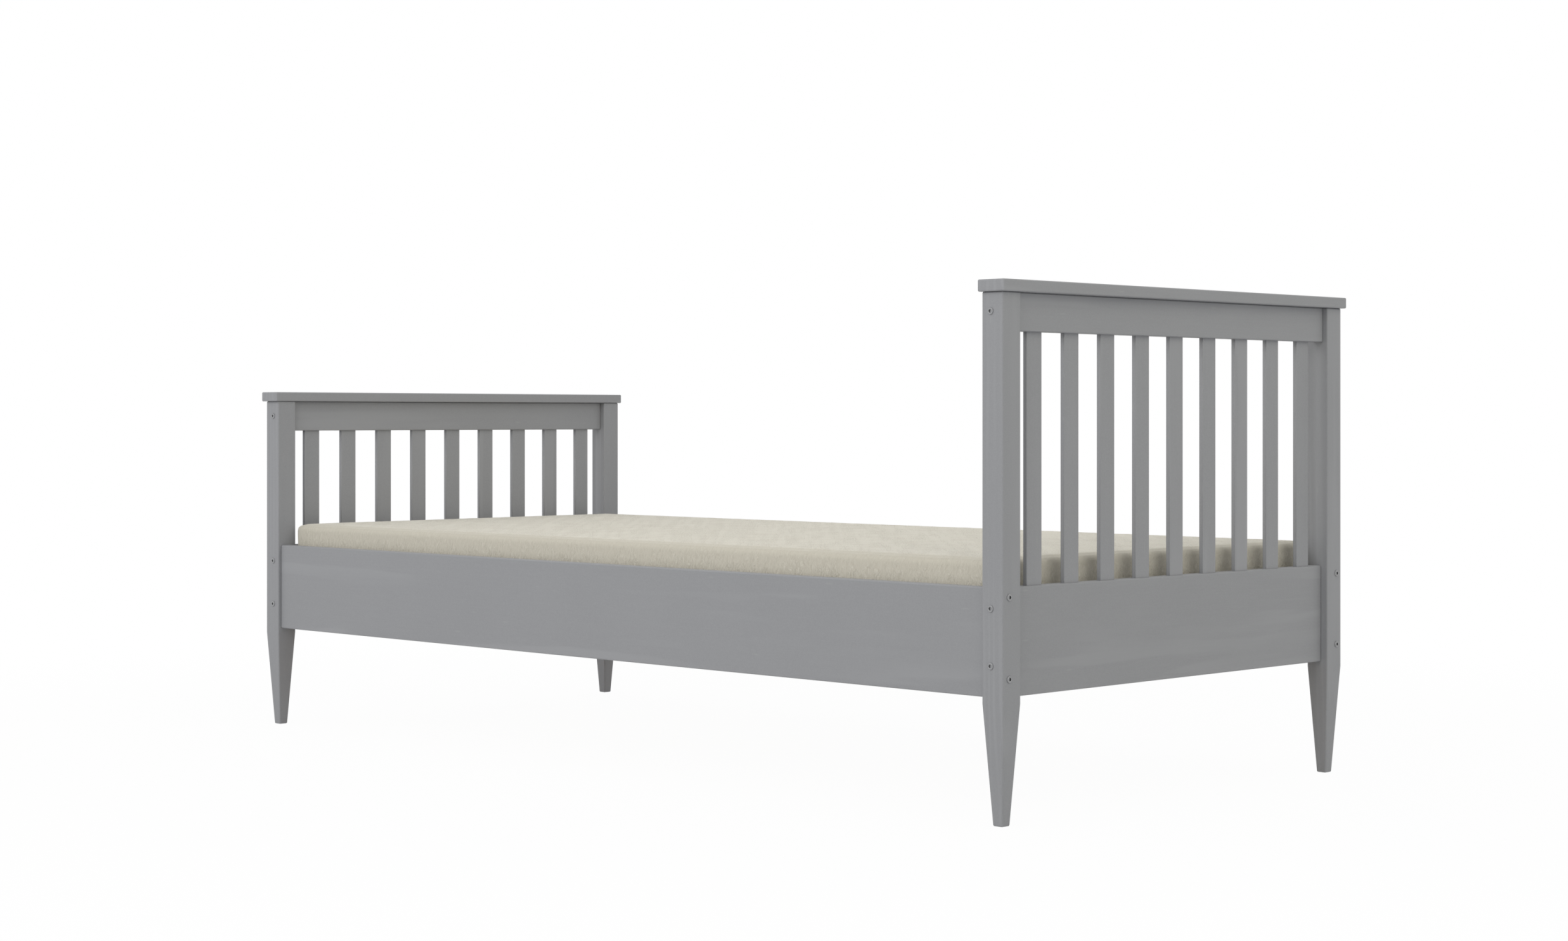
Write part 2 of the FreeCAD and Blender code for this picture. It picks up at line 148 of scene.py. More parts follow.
class NodeGraph:
    """A shader node tree with short ways to add and join nodes."""

    # Places of the sockets that several kinds of mix give the same names
    MIX_VALUES = slice(2, 4)
    MIX_COLOURS = slice(6, 8)
    MIXED_COLOUR = 2

    def __init__(self, tree: bpy.types.NodeTree) -> None:
        """Keep the tree that the nodes go into."""
        self.tree = tree

    def add(self, kind: str, **settings: object) -> bpy.types.Node:
        """Add a node.

        Args:
            kind: The node's type.
            settings: Properties of the node, or values of inputs where the name is no property.

        Returns:
            The new node.
        """
        node = self.tree.nodes.new(kind)
        for name, value in settings.items():
            if hasattr(node, name):
                setattr(node, name, value)
            else:
                node.inputs[name.replace("_", " ").title()].default_value = value
        return node

    def join(self, source: Socket, target: Socket) -> None:
        """Join an output socket to an input socket."""
        self.tree.links.new(source, target)

    def feed(self, targets: Sequence[Socket], values: Sequence[object]) -> None:
        """Give input sockets what they take.

        Args:
            targets: The input sockets.
            values: An output socket or a plain value for each of them.
        """
        for target, value in zip(targets, values):
            if isinstance(value, Socket):
                self.join(value, target)
            else:
                target.default_value = value

    def object_place(self) -> Socket:
        """Give the object's own coordinates."""
        return self.add("ShaderNodeTexCoord").outputs["Object"]

    def noise(self, vector: Socket, scale: float, layers: Layers) -> Socket:
        """Add a noise pattern.

        Args:
            vector: Where the pattern is read.
            scale: Features per unit of the vector.
            layers: The pattern's finer layers.

        Returns:
            The pattern's value, about 0.3 to 0.7.
        """
        detail, roughness = layers.value
        node = self.add("ShaderNodeTexNoise", scale=scale, detail=detail, roughness=roughness)
        self.join(vector, node.inputs["Vector"])
        return node.outputs["Fac"]

    def mapped(self, vector: Socket, change: str, amounts: Triple) -> Socket:
        """Change a pattern's coordinates.

        Args:
            vector: The coordinates.
            change: The kind of change, as the mapping node names it.
            amounts: How much they change along or about each axis.

        Returns:
            The changed coordinates.
        """
        node = self.add("ShaderNodeMapping", vector_type="POINT")
        node.inputs[change].default_value = amounts
        self.join(vector, node.inputs["Vector"])
        return node.outputs["Vector"]

    def stretch(self, vector: Socket, scale: Triple) -> Socket:
        """Scale a pattern's coordinates along each axis."""
        return self.mapped(vector, "Scale", scale)

    def turn(self, vector: Socket, angles: Triple) -> Socket:
        """Turn a pattern's coordinates about each axis."""
        return self.mapped(vector, "Rotation", angles)

    def fit(self, value: Socket, source: Span, target: Span = WHOLE) -> Socket:
        """Fit a value from one range into another and clamp it.

        Args:
            value: The value to fit.
            source: The range that it comes in.
            target: The range that it gets.

        Returns:
            The fitted value.
        """
        node = self.add("ShaderNodeMapRange", clamp=True, interpolation_type="SMOOTHSTEP")
        for name, number in zip(("From Min", "From Max", "To Min", "To Max"), source + target):
            node.inputs[name].default_value = number
        self.join(value, node.inputs["Value"])
        return node.outputs["Result"]

    def calculate(self, operation: str, *values: Socket | float) -> Socket:
        """Work out a value from others.

        Args:
            operation: The math node's operation.
            values: What it works on, as sockets or numbers.

        Returns:
            The result.
        """
        node = self.add("ShaderNodeMath", operation=operation)
        self.feed(node.inputs, values)
        return node.outputs["Value"]

    def add_share(self, first: Socket, second: Socket, share: float) -> Socket:
        """Add a share of a second value to a first one."""
        return self.calculate("MULTIPLY_ADD", second, share, first)

    def choose(self, share: Socket, first: Socket, second: Socket) -> Socket:
        """Blend two values.

        Args:
            share: Share of the second value.
            first: A value.
            second: A value.

        Returns:
            The blended value.
        """
        node = self.add("ShaderNodeMix", data_type="FLOAT")
        self.feed([node.inputs["Factor"], *node.inputs[self.MIX_VALUES]], (share, first, second))
        return node.outputs["Result"]

    def blend(self, share: Socket, first: Socket | Colour, second: Socket | Colour) -> Socket:
        """Blend two colours.

        Args:
            share: Share of the second colour.
            first: A colour, or a socket that gives one.
            second: A colour, or a socket that gives one.

        Returns:
            The blended colour.
        """
        node = self.add("ShaderNodeMix", data_type="RGBA")
        colours = [(*colour, 1.0) if isinstance(colour, tuple) else colour
                   for colour in (first, second)]
        self.feed([node.inputs["Factor"], *node.inputs[self.MIX_COLOURS]], (share, *colours))
        return node.outputs[self.MIXED_COLOUR]

    def mix_shaders(self, share: Socket, first: Socket, second: Socket) -> Socket:
        """Mix two shaders.

        Args:
            share: Share of the second shader.
            first: A shader.
            second: A shader.

        Returns:
            The mixed shader.
        """
        node = self.add("ShaderNodeMixShader")
        self.feed(node.inputs, (share, first, second))
        return node.outputs["Shader"]

    def bump(self, height: Socket, depth: float) -> Socket:
        """Turn a height pattern into a bumped normal.

        Args:
            height: The pattern, from 0 to 1.
            depth: The pattern's depth.

        Returns:
            The bumped normal.
        """
        node = self.add("ShaderNodeBump", distance=depth, strength=1.0)
        self.join(height, node.inputs["Height"])
        return node.outputs["Normal"]

    def seen_directly(self) -> Socket:
        """Tell what the camera sees from what only lights the bed.

        Returns:
            1 where the camera sees straight, mirrored or through glass, and 0 elsewhere.
        """
        path = self.add("ShaderNodeLightPath")
        seen = path.outputs["Is Camera Ray"]
        for name in ("Is Glossy Ray", "Is Transmission Ray"):
            seen = self.calculate("MAXIMUM", seen, path.outputs[name])
        return seen


@dataclass(frozen=True)
class WoodGrain:
    """The grain that painted and bare boards share, as a node group with the grain along X."""

    name: str = "wood_grain"
    ring_stretch: Triple = (1.6, 22.0, 22.0)
    ring_bow: float = 9.0
    ring_detail: float = 3.0
    ring_detail_scale: float = 0.7
    ring_range: Span = (0.45, 1.0)
    cluster_stretch: Triple = (1.4, 9.0, 9.0)
    cluster_range: Span = (0.34, 0.6)
    fibre_stretch: Triple = (9.0, 420.0, 420.0)
    fibre_range: Span = (0.3, 0.7)
    fleck_stretch: Triple = (8.0, 55.0, 55.0)
    fleck_range: Span = (0.1, 0.03)

    def group(self) -> bpy.types.NodeTree:
        """Build the node group.

        Returns:
            The group, with the board's coordinates as its input and each pattern as an output.
        """
        tree = bpy.data.node_groups.new(self.name, "ShaderNodeTree")
        patterns = {"Streaks": self.streaks, "Fibres": self.fibres, "Flecks": self.flecks}
        tree.interface.new_socket("Vector", in_out="INPUT", socket_type="NodeSocketVector")
        for name in patterns:
            tree.interface.new_socket(name, in_out="OUTPUT", socket_type="NodeSocketFloat")
        graph = NodeGraph(tree)
        vector = graph.add("NodeGroupInput").outputs["Vector"]
        result = graph.add("NodeGroupOutput")
        for name, pattern in patterns.items():
            graph.join(pattern(graph, vector), result.inputs[name])
        return tree

    def streaks(self, graph: NodeGraph, vector: Socket) -> Socket:
        """Draw growth rings cut along their length: clusters of long thin lines, some bowed.

        Args:
            graph: The group's graph.
            vector: The board's coordinates.

        Returns:
            1 on the lines and 0 between them.
        """
        rings = graph.add("ShaderNodeTexWave", wave_type="BANDS", bands_direction="Y", scale=1.0,
                          distortion=self.ring_bow, detail=self.ring_detail,
                          detail_scale=self.ring_detail_scale)
        graph.join(graph.stretch(vector, self.ring_stretch), rings.inputs["Vector"])
        clusters = graph.noise(graph.stretch(vector, self.cluster_stretch), 1.0, Layers.SOFT)
        return graph.calculate("MULTIPLY", graph.fit(rings.outputs["Fac"], self.ring_range),
                               graph.fit(clusters, self.cluster_range))

    def fibres(self, graph: NodeGraph, vector: Socket) -> Socket:
        """Draw fine lines along the grain, from 0 to 1."""
        lines = graph.noise(graph.stretch(vector, self.fibre_stretch), 1.0, Layers.ROUGH)
        return graph.fit(lines, self.fibre_range)

    def flecks(self, graph: NodeGraph, vector: Socket) -> Socket:
        """Draw sparse small flecks, drawn out along the grain.

        Args:
            graph: The group's graph.
            vector: The board's coordinates.

        Returns:
            1 in the flecks and 0 elsewhere.
        """
        spots = graph.add("ShaderNodeTexVoronoi", feature="F1", scale=1.0, randomness=1.0)
        graph.join(graph.stretch(vector, self.fleck_stretch), spots.inputs["Vector"])
        return graph.fit(spots.outputs["Distance"], self.fleck_range)


def new_material(name: str) -> tuple[NodeGraph, bpy.types.Node, Material]:
    """Start a material.

    Args:
        name: The material's name.

    Returns:
        Its node graph, its shader node and the material.
    """
    material = bpy.data.materials.new(name)
    material.use_nodes = True
    return NodeGraph(material.node_tree), material.node_tree.nodes["Principled BSDF"], material


def add_grain(graph: NodeGraph, grain: bpy.types.NodeTree, place: Socket) -> dict[str, Socket]:
    """Add the wood's grain to a material.

    Args:
        graph: The material's graph.
        grain: The shared grain group.
        place: The board's coordinates, with the grain along X.

    Returns:
        The grain's patterns by name.
    """
    wood = graph.add("ShaderNodeGroup", node_tree=grain)
    graph.join(place, wood.inputs["Vector"])
    return dict(wood.outputs.items())


@dataclass(frozen=True)
class PaintedWood:
    """Satin paint over pine, thin enough for the grain to show faintly."""

    slot: str = "painted_wood"
    tone: Colour = paint_tone(152, 153, 156)
    streak_tone: Colour = paint_tone(155, 156, 159)
    fleck_tone: Colour = paint_tone(156, 157, 159)
    dull_tone: Colour = paint_tone(148, 149, 152)
    dull_range: Span = (0.475, 0.775)
    mottle_scale: float = 480.0
    cloud_scale: float = 7.0
    cloud_share: float = 0.25
    roughness: Span = (0.47, 0.55)
    grain_depth: float = 0.02 * MM
    film_scale: float = 900.0
    film_depth: float = 0.03 * MM

    def material(self, grain: bpy.types.NodeTree, axis: GrainAxis) -> Material:
        """Make the finish for boards whose grain runs along one axis.

        Args:
            grain: The shared grain group.
            axis: The axis of the boards' grain.

        Returns:
            The material.
        """
        graph, shader, material = new_material(f"{self.slot}_{axis.label}")
        place = graph.turn(graph.object_place(), axis.value)
        wood = add_grain(graph, grain, place)
        mottle = graph.noise(place, self.mottle_scale, Layers.GRAINY)
        clouds = graph.noise(place, self.cloud_scale, Layers.SOFT)
        dull = graph.fit(graph.add_share(mottle, clouds, self.cloud_share), self.dull_range)
        coat = graph.blend(dull, self.tone, self.dull_tone)
        streaked = graph.blend(wood["Streaks"], coat, self.streak_tone)
        flecked = graph.blend(wood["Flecks"], streaked, self.fleck_tone)
        graph.join(flecked, shader.inputs["Base Color"])
        gloss = graph.fit(wood["Fibres"], WHOLE, self.roughness)
        graph.join(gloss, shader.inputs["Roughness"])
        film = graph.noise(place, self.film_scale, Layers.SOFT)
        height = graph.add_share(wood["Fibres"], film, self.film_depth / self.grain_depth)
        graph.join(graph.bump(height, self.grain_depth), shader.inputs["Normal"])
        return material


@dataclass(frozen=True)
class BareWood:
    """Planed pine without paint, for what lies under the mattress."""

    slot: str = "bare_wood"
    pale_tone: Colour = paint_tone(222, 196, 158)
    dark_tone: Colour = paint_tone(196, 158, 112)
    knot_tone: Colour = paint_tone(128, 84, 48)
    roughness: Span = (0.55, 0.75)
    grain_depth: float = 0.2 * MM

    def material(self, grain: bpy.types.NodeTree, axis: GrainAxis) -> Material:
        """Make the finish for boards whose grain runs along one axis.

        Args:
            grain: The shared grain group.
            axis: The axis of the boards' grain.

        Returns:
            The material.
        """
        graph, shader, material = new_material(f"{self.slot}_{axis.label}")
        wood = add_grain(graph, grain, graph.turn(graph.object_place(), axis.value))
        streaked = graph.blend(wood["Streaks"], self.pale_tone, self.dark_tone)
        flecked = graph.blend(wood["Flecks"], streaked, self.knot_tone)
        graph.join(flecked, shader.inputs["Base Color"])
        gloss = graph.fit(wood["Fibres"], WHOLE, self.roughness)
        graph.join(gloss, shader.inputs["Roughness"])
        graph.join(graph.bump(wood["Fibres"], self.grain_depth), shader.inputs["Normal"])
        return material


@dataclass(frozen=True)
class BoltSteel:
    """Zinc plated steel with a faint spangle, and sockets painted dark as painted shade."""

    slot: str = "bolt_steel"
    tone: Colour = paint_tone(163, 164, 166)
    dull_tone: Colour = paint_tone(152, 153, 155)
    # The sockets' two dark tones are painted shade in the recess.
    socket_shade_tone: Colour = paint_tone(58, 58, 59)
    socket_dull_shade_tone: Colour = paint_tone(38, 38, 39)
    spangle_scale: float = 700.0
    spangle_range: Span = (0.35, 0.65)
    roughness: Span = (0.42, 0.55)
    metallic: float = 0.25
    socket_gloss: float = 0.05

    def material(self) -> Material:
        """Make the plated finish of the bolts.

        Returns:
            The material.
        """
        shader, material = self.spangled(self.slot, self.tone, self.dull_tone)
        shader.inputs["Metallic"].default_value = self.metallic
        return material

    def socket_shade_material(self) -> Material:
        """Make the painted shade inside the sockets: a dark tone that hardly shines.

        Returns:
            The material.
        """
        name = f"{self.slot}_socket"
        shader, material = self.spangled(name, self.socket_shade_tone, self.socket_dull_shade_tone)
        shader.inputs["Specular IOR Level"].default_value = self.socket_gloss
        return material

    def spangled(self, name: str, tone: Colour, dull_tone: Colour
                 ) -> tuple[bpy.types.Node, Material]:
        """Make a finish of two tones.

        Args:
            name: The material's name.
            tone: The brighter tone.
            dull_tone: The duller tone.

        Returns:
            The shader node and the material.
        """
        graph, shader, material = new_material(name)
        pattern = graph.noise(graph.object_place(), self.spangle_scale, Layers.FINE)
        spangle = graph.fit(pattern, self.spangle_range)
        graph.join(graph.blend(spangle, tone, dull_tone), shader.inputs["Base Color"])
        graph.join(graph.fit(spangle, WHOLE, self.roughness), shader.inputs["Roughness"])
        return shader, material


@dataclass(frozen=True)
class Plush:
    """Cream plush: a short nap on top and longer curled strands on the sides, with painted light
    and shade on the relief and painted shade on the sides.
    """

    slot: str = "mattress_cover"
    pile_attribute: str = "pile"
    lean_attribute: str = "lean"
    top_tone: Colour = paint_tone(225, 222, 209)
    # The sides are painted darker than the top: painted shade on the sides.
    shaded_side_tone: Colour = paint_tone(195, 190, 176)
    patch_tone: Colour = paint_tone(217, 212, 199)
    # The lit crest and shaded valley tones are painted highlight and painted shade on the relief of
    # the nap and the strands.
    lit_crest_tone: Colour = paint_tone(233, 228, 214)
    shaded_valley_tone: Colour = paint_tone(202, 196, 180)
    patch_scale: float = 16.0
    patch_range: Span = (0.42, 0.66)
    curl_scale: float = 60.0
    curl_detail: float = 1.0
    curl_reach: float = 14 * MM
    strand_scale: float = 170.0
    strand_stretch: float = 0.5
    strand_tilt: float = math.radians(24)
    strand_shade: Triple = (0.0, 0.9 * MM, 0.5 * MM)
    flank_range: Span = (-0.16, 0.16)
    tangle_scale: float = 70.0
    tangle_range: Span = (0.36, 0.6)
    tangle_strength: Span = (0.4, 1.0)
    nap_turn: float = math.radians(-45)
    nap_scale: float = 420.0
    nap_stretch: float = 0.16
    nap_range: Span = (0.42, 0.66)
    band_scale: float = 70.0
    band_stretch: float = 0.06
    band_range: Span = (0.36, 0.6)
    band_strength: Span = (0.5, 1.0)
    pile_depth: float = 0.7 * MM
    roughness: float = 0.95
    sheen: float = 0.1

    def material(self) -> Material:
        """Make the finish of the mattress cover.

        Returns:
            The material.
        """
        graph, shader, material = new_material(self.slot)
        place = graph.object_place()
        pile, lean = (graph.add("ShaderNodeAttribute", attribute_name=name).outputs["Fac"]
                      for name in (self.pile_attribute, self.lean_attribute))
        patches = graph.fit(graph.noise(place, self.patch_scale, Layers.FINE), self.patch_range)
        top = graph.blend(patches, self.top_tone, self.patch_tone)
        # The cover turns from the top tone to the painted side shade as it leans from level.
        top_and_side_shade = graph.blend(lean, top, self.shaded_side_tone)
        relief = graph.choose(lean, self.nap(graph, place), self.strands(graph, place))
        # The relief picks between painted shade and painted highlight.
        relief_light_and_shade = graph.blend(relief, self.shaded_valley_tone, self.lit_crest_tone)
        # Where the pile is shallow, near the side's top edge, more of the painted side shade shows;
        # lower down the lighter painted light and shade of the strands take over.
        graph.join(graph.blend(pile, top_and_side_shade, relief_light_and_shade), shader.inputs["Base Color"])
        height = graph.calculate("MULTIPLY", relief, pile)
        graph.join(graph.bump(height, self.pile_depth), shader.inputs["Normal"])
        shader.inputs["Roughness"].default_value = self.roughness
        shader.inputs["Sheen Weight"].default_value = self.sheen
        return material

    def nap(self, graph: NodeGraph, place: Socket) -> Socket:
        """Draw the relief of the short nap, brushed in bands along the bed's diagonal, for the bump
        and for painted light and shade.

        Args:
            graph: The material's graph.
            place: The object's coordinates.

        Returns:
            0 in the nap's dark specks, which are painted shade, and 1 elsewhere.
        """
        turned = graph.turn(place, (0.0, 0.0, self.nap_turn))
        brushed = graph.stretch(turned, (self.nap_stretch, 1.0, 1.0))
        banded = graph.stretch(turned, (self.band_stretch, 1.0, 1.0))
        specks = graph.fit(graph.noise(brushed, self.nap_scale, Layers.ROUGH), self.nap_range)
        bands = graph.fit(graph.noise(banded, self.band_scale, Layers.SOFT), self.band_range,
                          self.band_strength)
        return graph.fit(graph.calculate("MULTIPLY", specks, bands), WHOLE[::-1])

    def strands(self, graph: NodeGraph, place: Socket) -> Socket:
        """Draw the relief of the curled strands, for the bump and for painted light and shade: a
        painted shaded and a painted lit flank to each.

        Args:
            graph: The material's graph.
            place: The object's coordinates.

        Returns:
            0 on shaded flanks and 1 on lit ones.
        """
        curl = graph.add("ShaderNodeTexNoise", scale=self.curl_scale, detail=self.curl_detail)
        graph.join(place, curl.inputs["Vector"])
        stirred = graph.add("ShaderNodeVectorMath", operation="MULTIPLY_ADD")
        graph.feed(stirred.inputs, (curl.outputs["Color"], (self.curl_reach,) * 3, place))
        tilted = graph.turn(stirred.outputs["Vector"], (self.strand_tilt, self.strand_tilt, 0.0))
        hanging = graph.stretch(tilted, (1.0, 1.0, self.strand_stretch))
        beside = graph.add("ShaderNodeVectorMath", operation="ADD")
        graph.feed(beside.inputs, (hanging, self.strand_shade))
        here, there = (graph.noise(spot, self.strand_scale, Layers.ROUGH)
                       for spot in (hanging, beside.outputs["Vector"]))
        tangles = graph.fit(graph.noise(place, self.tangle_scale, Layers.SOFT), self.tangle_range,
                            self.tangle_strength)
        slope = graph.calculate("SUBTRACT", here, there)
        return graph.fit(graph.calculate("MULTIPLY", slope, tangles), self.flank_range)


def new_piece(name: str, form: Form, material: Material) -> Piece:
    """Turn a finished form into an object at the origin.

    Args:
        name: The piece's name.
        form: The form, which is freed.
        material: The piece's finish.

    Returns:
        The new object.
    """
    mesh = bpy.data.meshes.new(name)
    form.to_mesh(mesh)
    form.free()
    mesh.materials.append(material)
    piece = bpy.data.objects.new(name, mesh)
    bpy.context.scene.collection.objects.link(piece)
    return piece


def place_piece(piece: Piece, body: str, node: str) -> None:
    """Let a piece stand for a node of the frame.

    Args:
        piece: The piece.
        body: The body that it moves with.
        node: The node that it replaces.
    """
    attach(piece, body)
    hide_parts(node)


def report(pieces: list[Piece]) -> None:
    """Log the name and the number of faces of each piece."""
    for piece in pieces:
        LOG.info("%s: %d faces", piece.name, len(piece.data.polygons))


def outer_face(node: str, way: End | Side) -> float:
    """Find the face of a node that looks out at an end or a side of the bed.

    Args:
        node: The node's name.
        way: The end or the side.

    Returns:
        The face's place along Y for an end, or along X for a side.
    """
    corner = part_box(node)[1 if way.value > 0 else 0]
    return corner.y if isinstance(way, End) else corner.x


def block_form(low: Vector, high: Vector) -> Form:
    """Make a plain block.

    Args:
        low: Its lowest corner.
        high: Its highest corner.

    Returns:
        The block.
    """
    form = bmesh.new()
    bmesh.ops.create_cube(form, size=1.0)
    bmesh.ops.scale(form, vec=high - low, verts=form.verts)
    bmesh.ops.translate(form, vec=(low + high) / 2, verts=form.verts)
    return form


def divide(form: Form, cell: float) -> None:
    """Divide the faces of a block into even cells.

    Args:
        form: The block.
        cell: About the cells' size.
    """
    for axis in range(3):
        edges = [edge for edge in form.edges
                 if abs(edge.verts[0].co[axis] - edge.verts[1].co[axis]) > cell]
        cuts = round(edges[0].calc_length() / cell) - 1
        bmesh.ops.subdivide_edges(form, edges=edges, cuts=cuts, use_grid_fill=True)


def draw_out(form: Form, face: Face, height: float) -> Face:
    """Extrude a face along Z.

    Args:
        form: The form.
        face: The face, which stays where it is.
        height: How far the new face goes up.

    Returns:
        The new face.
    """
    drawn = bmesh.ops.extrude_face_region(form, geom=[face])["geom"]
    moved = next(item for item in drawn if isinstance(item, Face))
    bmesh.ops.translate(form, vec=(0.0, 0.0, height), verts=moved.verts)
    return moved


def round_edges(form: Form, edges: list[bmesh.types.BMEdge], radius: float, segments: int) -> None:
    """Round some edges of a form.

    Args:
        form: The form.
        edges: The edges.
        radius: How far the rounding reaches from an edge.
        segments: Number of faces across it.
    """
    form.normal_update()
    bmesh.ops.bevel(form, geom=edges, offset=radius, offset_type="OFFSET", segments=segments,
                    profile=0.5, affect="EDGES", material=-1)


def smooth_faces(piece: Piece) -> None:
    """Shade all of a piece's faces as one smooth surface."""
    for face in piece.data.polygons:
        face.use_smooth = True


def smooth_rounds(piece: Piece) -> None:
    """Shade a piece so that its flat faces stay flat and its rounded edges look round.

    Args:
        piece: The piece.
    """
    smooth_faces(piece)
    normals = piece.modifiers.new("flat_faces", "WEIGHTED_NORMAL")
    normals.weight = FLAT_FACE_WEIGHT
    normals.keep_sharp = True


def subdivide(piece: Piece) -> None:
    """Halve the size of a piece's faces and smooth them, in its mesh.

    Args:
        piece: The piece.
    """
    change = piece.modifiers.new("subdivide", "SUBSURF")
    change.levels = change.render_levels = 1
    graph = bpy.context.evaluated_depsgraph_get()
    mesh = bpy.data.meshes.new_from_object(piece.evaluated_get(graph))
    coarse = piece.data
    piece.modifiers.clear()
    piece.data = mesh
    bpy.data.meshes.remove(coarse)
    mesh.name = piece.name


@dataclass
class Board:
    """A painted board with rounded edges, in the place of a plainer node."""

    node: str
    radius: float
    segments: int = 4
    tenons: Triple = (0.0, 0.0, 0.0)
    square_ends: bool = False

    def build(self, finish: PaintedWood, material: Material) -> Piece:
        """Build the board and let it stand for its node.

        Args:
            finish: The board's finish; not used.
            material: That finish along the board's grain.

        Returns:
            The new piece.
        """
        piece = new_piece(f"{self.node}_rounded", self.form(), material)
        smooth_rounds(piece)
        place_piece(piece, FRAME_BODY, self.node)
        return piece

    def form(self) -> Form:
        """Shape the board over its node's box, without the tenons that go into other boards.

        Returns:
            The board's form.
        """
        low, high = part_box(self.node)
        form = block_form(low + Vector(self.tenons), high - Vector(self.tenons))
        edges = form.edges[:]
        if self.square_ends:
            longest = max(edge.calc_length() for edge in edges)
            edges = [edge for edge in edges if edge.calc_length() > longest - self.radius]
        round_edges(form, edges, self.radius, self.segments)
        return form


@dataclass
class Post(Board):
    """A corner post with a leg that tapers on all four faces."""

    leg_height: float = 200 * MM
    sole_size: float = 20 * MM

    def form(self) -> Form:
        """Shape the post over its node's box.

        Returns:
            The post's form.
        """
        low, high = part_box(self.node)
        form = block_form(low, high)
        cut = bmesh.ops.bisect_plane(form, geom=form.verts[:] + form.edges[:] + form.faces[:],
                                     plane_co=(0.0, 0.0, self.leg_height),
                                     plane_no=(0.0, 0.0, 1.0))
        shoulder = {item for item in cut["geom_cut"] if isinstance(item, bmesh.types.BMEdge)}
        share = self.sole_size / (high.x - low.x)
        soles = [vert for vert in form.verts if vert.co.z < self.leg_height / 2]
        centre = Vector(((low.x + high.x) / 2, (low.y + high.y) / 2, 0.0))
        bmesh.ops.scale(form, vec=(share, share, 1.0), verts=soles,
                        space=Matrix.Translation(-centre))
        edges = [edge for edge in form.edges if edge not in shoulder]
        round_edges(form, edges, self.radius, self.segments)
        return form


@dataclass
class EndPanel:
    """A head or foot panel: two posts, two rails, a cap and a row of slats."""

    end: End
    slat_count: int = 9
    tenon_length: float = 12 * MM
    stub_length: float = 10 * MM
    post_radius: float = 2.5 * MM
    rail_radius: float = 2.5 * MM
    cap_radius: float = 2.5 * MM
    slat_radius: float = 1.8 * MM

    def build(self, finish: PaintedWood, materials: dict[GrainAxis, Material]) -> list[Piece]:
        """Build all the panel's boards.

        Args:
            finish: The boards' finish.
            materials: That finish along each axis.

        Returns:
            The new pieces.
        """
        boards = [(board, GrainAxis.Z) for board in self.posts()]
        boards += [(board, GrainAxis.X) for board in self.cross_boards()]
        boards += [(board, GrainAxis.Z) for board in self.slats()]
        return [board.build(finish, materials[axis]) for board, axis in boards]

    def posts(self) -> list[Board]:
        """List the panel's posts."""
        return [Post(f"{self.end.label}_post_{side.label}", self.post_radius) for side in Side]

    def cross_boards(self) -> list[Board]:
        """List the panel's cap and rails.

        Returns:
            The boards, from the top down.
        """
        label = self.end.label
        stubs = (self.stub_length, 0.0, 0.0)
        return [Board(f"{label}_cap", self.cap_radius),
                Board(f"{label}_top_rail", self.rail_radius, tenons=stubs),
                Board(f"{label}_bottom_rail", self.rail_radius)]

    def slats(self) -> list[Board]:
        """List the panel's slats.

        Returns:
            The slats, with square ends that stand on the rails.
        """
        tenons = (0.0, 0.0, self.tenon_length)
        return [Board(f"{self.end.label}_slat_{number}", self.slat_radius, tenons=tenons,
                      square_ends=True)
                for number in range(1, self.slat_count + 1)]


@dataclass
class SideRails:
    """The two wide boards along the sides."""

    edge_radius: float = 2.5 * MM

    def build(self, finish: PaintedWood, materials: dict[GrainAxis, Material]) -> list[Piece]:
        """Build both rails.

        Args:
            finish: The rails' finish.
            materials: That finish along each axis.

        Returns:
            The new pieces.
        """
        rails = [Board(f"side_rail_{side.label}", self.edge_radius) for side in Side]
        return [rail.build(finish, materials[GrainAxis.Y]) for rail in rails]


@dataclass
class SlatBase:
    """The wood without paint: ledgers, base slats and the caps' splines, which keep their shape."""

    slat_count: int = 14

    def dress(self, nodes: dict[str, Piece], materials: dict[GrainAxis, Material]) -> list[Piece]:
        """Give the base its bare wood.

        Args:
            nodes: The frame's nodes by name.
            materials: The bare wood along each axis.

        Returns:
            The dressed nodes.
        """
        slats = [f"base_slat_{number:02d}" for number in range(1, self.slat_count + 1)]
        axes = dict.fromkeys(["cap_splines", *slats], GrainAxis.X)
        axes |= {f"slat_ledger_{side.label}": GrainAxis.Y for side in Side}
        for name, axis in axes.items():
            nodes[name].data.materials.clear()
            nodes[name].data.materials.append(materials[axis])
        return [nodes[name] for name in axes]


